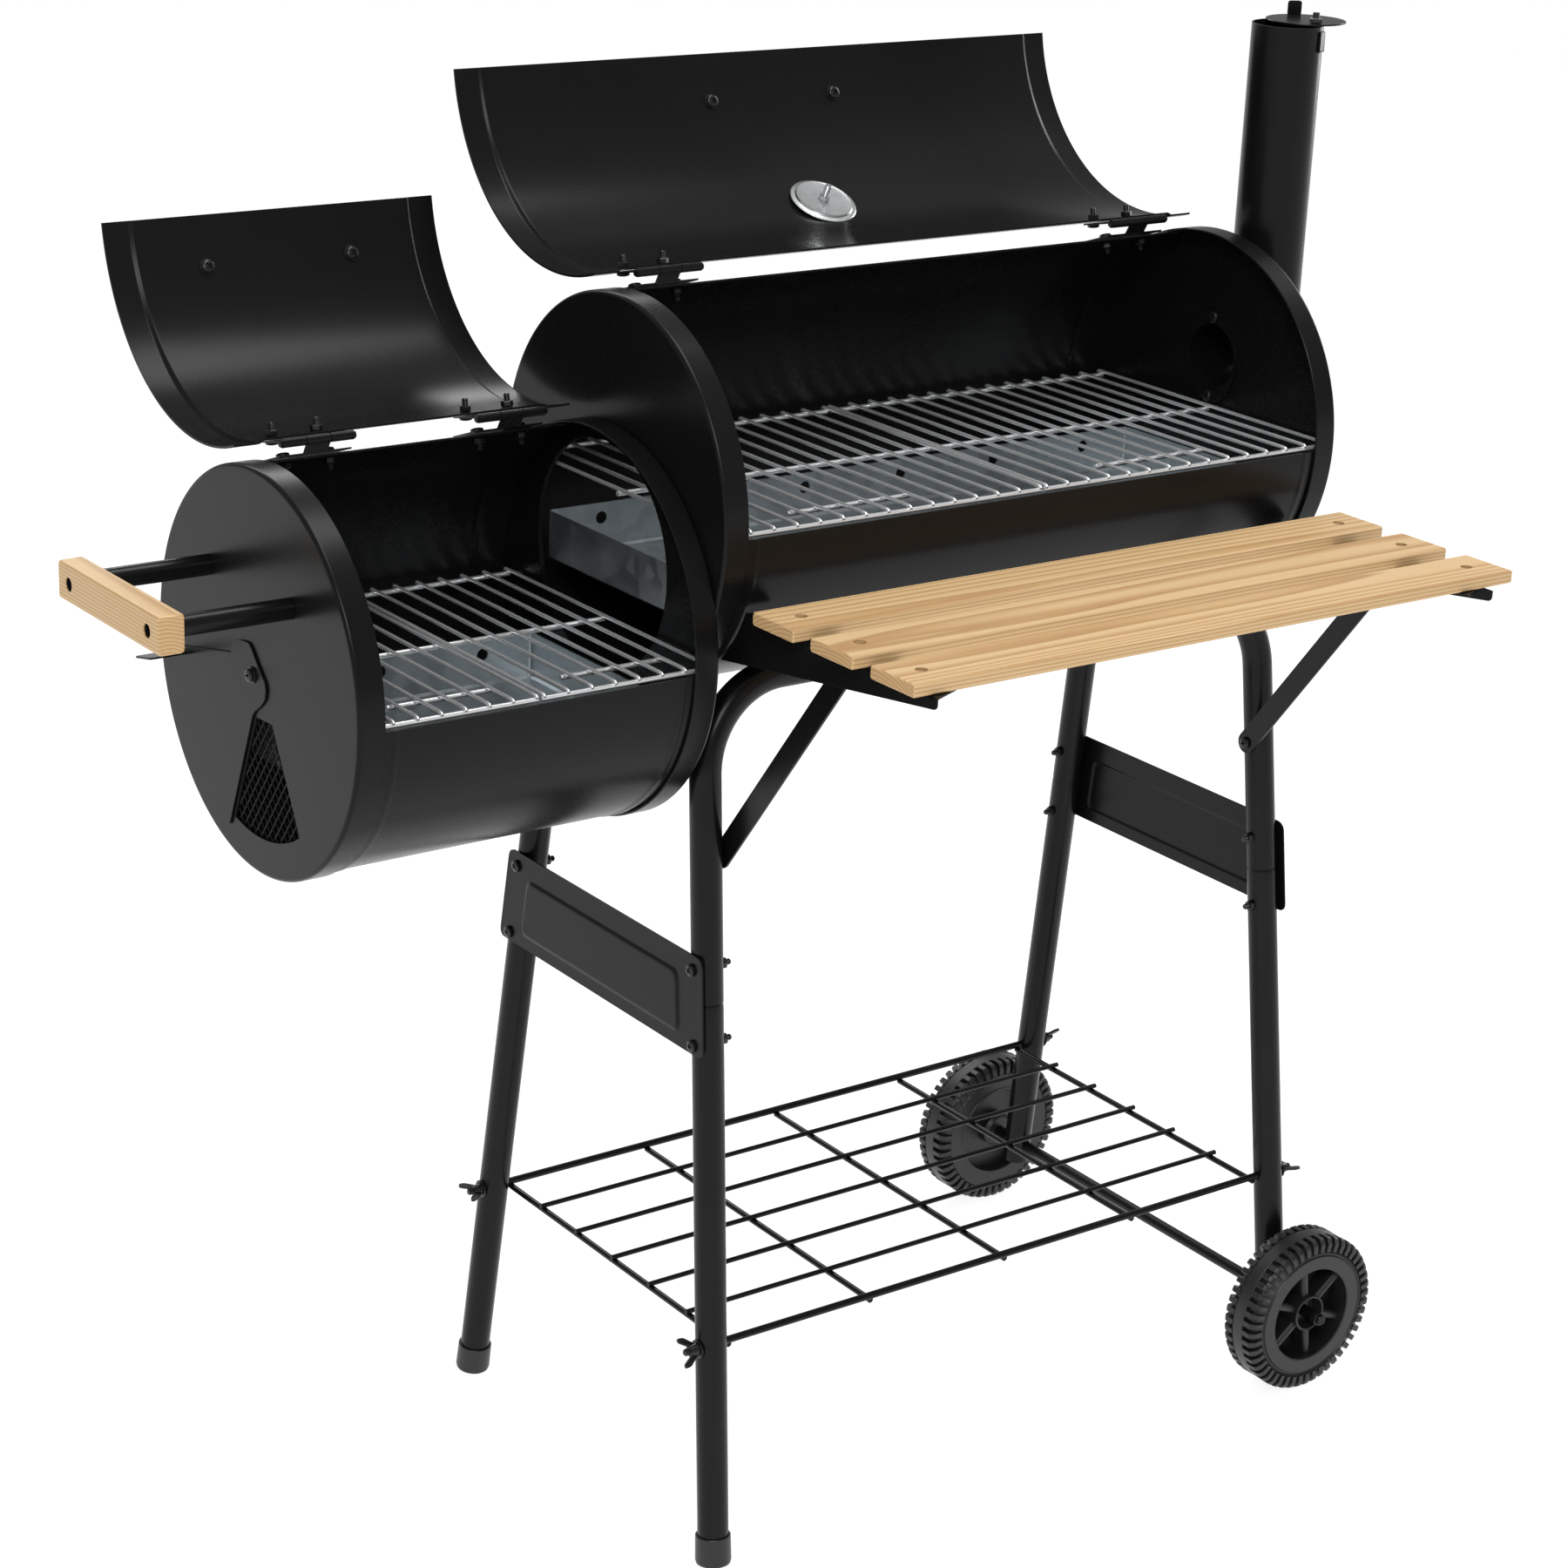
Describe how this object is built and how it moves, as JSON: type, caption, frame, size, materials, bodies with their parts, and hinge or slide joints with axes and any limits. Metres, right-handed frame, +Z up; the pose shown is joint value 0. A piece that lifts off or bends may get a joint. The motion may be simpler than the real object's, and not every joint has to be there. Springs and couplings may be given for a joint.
{
  "type": "offset smoker",
  "caption": "Barbecue drum with an offset firebox, lids swung open, chimney, wooden front shelf and handles, on a tubular stand with wheels.",
  "frame": {"origin": "on the ground, under the middle of the object's bounding box", "axes": "+Z up, +X from the firebox towards the chimney, -Y towards the cook and the wooden shelf"},
  "size_m": [1.1101, 0.6581, 1.152],
  "materials": {
    "satin_black_paint": "heat-resistant satin black paint with a soft sheen",
    "pine": "planed light softwood, clear finish",
    "chrome_wire": "bright plated wire",
    "zinc_plate": "dull zinc plate",
    "polished_steel": "polished steel bezel with a plain printed dial",
    "black_plastic": "moulded matt black"
  },
  "bodies": {
    "stand": {"main_barrel": "satin_black_paint", "main_left_cap": "satin_black_paint", "main_right_cap": "satin_black_paint", "firebox_right_cap": "satin_black_paint", "firebox_left_cap": "satin_black_paint", "firebox_barrel": "satin_black_paint", "side_handle": "pine", "side_standoff_rear": "satin_black_paint", "side_standoff_front": "satin_black_paint", "main_left_hinge_drum_leaf": "satin_black_paint", "main_right_hinge_drum_leaf": "satin_black_paint", "firebox_left_hinge_drum_leaf": "satin_black_paint", "firebox_right_hinge_drum_leaf": "satin_black_paint", "damper_pivot_screw": "satin_black_paint", "vent_mesh": "satin_black_paint", "main_charcoal_pan": "zinc_plate", "firebox_charcoal_pan": "zinc_plate", "chimney_bolt": "zinc_plate", "axle": "zinc_plate", "chimney_pipe": "satin_black_paint", "front_frame": "satin_black_paint", "rear_frame": "satin_black_paint", "front_left_leg": "satin_black_paint", "front_right_leg": "satin_black_paint", "rear_left_leg": "satin_black_paint", "rear_right_leg": "satin_black_paint", "left_side_panel": "satin_black_paint", "right_side_panel": "satin_black_paint", "bottom_rack": "satin_black_paint", "left_shelf_bracket": "satin_black_paint", "right_shelf_bracket": "satin_black_paint", "left_shelf_strut": "satin_black_paint", "right_shelf_strut": "satin_black_paint", "front_left_foot": "black_plastic", "rear_left_foot": "black_plastic", "rear_plank": "pine", "middle_plank": "pine", "front_plank": "pine"},
    "main_lid": {"main_lid": "satin_black_paint", "main_lid_handle": "pine", "main_lid_standoff_rear": "satin_black_paint", "main_lid_standoff_front": "satin_black_paint", "thermometer_dial": "polished_steel", "thermometer_plate": "zinc_plate", "main_left_hinge_lid_leaf": "satin_black_paint", "main_right_hinge_lid_leaf": "satin_black_paint"},
    "firebox_lid": {"firebox_lid": "satin_black_paint", "firebox_lid_handle": "pine", "firebox_lid_standoff_rear": "satin_black_paint", "firebox_lid_standoff_front": "satin_black_paint", "firebox_left_hinge_lid_leaf": "satin_black_paint", "firebox_right_hinge_lid_leaf": "satin_black_paint"},
    "air_damper": {"air_damper": "satin_black_paint"},
    "chimney_cap": {"chimney_cap": "satin_black_paint"},
    "front_wheel": {"front_wheel": "black_plastic"},
    "rear_wheel": {"rear_wheel": "black_plastic"},
    "main_grate_left": {"main_grate_left": "chrome_wire"},
    "main_grate_right": {"main_grate_right": "chrome_wire"},
    "firebox_grate_left": {"firebox_grate_left": "chrome_wire"},
    "firebox_grate_right": {"firebox_grate_right": "chrome_wire"}
  },
  "joints": [
    {"name": "main_lid_hinge", "type": "hinge", "parent": "stand", "child": "main_lid", "pos_m": [0.15, 0.0649, 0.979], "axis": [1, 0, 0], "range_deg": [0, 188]},
    {"name": "firebox_lid_hinge", "type": "hinge", "parent": "stand", "child": "firebox_lid", "pos_m": [-0.298, 0.0649, 0.883], "axis": [1, 0, 0], "range_deg": [0, 188]},
    {"name": "air_damper_pivot", "type": "hinge", "parent": "stand", "child": "air_damper", "pos_m": [-0.447, 0.0339, 0.727], "axis": [1, 0, 0], "range_deg": [-55, 0]},
    {"name": "chimney_cap_pivot", "type": "hinge", "parent": "stand", "child": "chimney_cap", "pos_m": [0.5122, 0.0125, 1.139], "axis": [0, 0, 1], "range_deg": [-60, 50]},
    {"name": "front_wheel_spin", "type": "hinge", "parent": "stand", "child": "front_wheel", "pos_m": [0.4464, -0.1731, 0.0705], "axis": [0, 1, 0], "continuous": true},
    {"name": "rear_wheel_spin", "type": "hinge", "parent": "stand", "child": "rear_wheel", "pos_m": [0.4464, 0.2559, 0.0705], "axis": [0, 1, 0], "continuous": true},
    {"name": "main_grate_left_lift", "type": "slide", "parent": "stand", "child": "main_grate_left", "axis": [0, 0, 1], "range_m": [0, 0.025]},
    {"name": "main_grate_right_lift", "type": "slide", "parent": "stand", "child": "main_grate_right", "axis": [0, 0, 1], "range_m": [0, 0.025]},
    {"name": "firebox_grate_left_lift", "type": "slide", "parent": "stand", "child": "firebox_grate_left", "axis": [0, 0, 1], "range_m": [0, 0.025]},
    {"name": "firebox_grate_right_lift", "type": "slide", "parent": "stand", "child": "firebox_grate_right", "axis": [0, 0, 1], "range_m": [0, 0.025]}
  ]
}
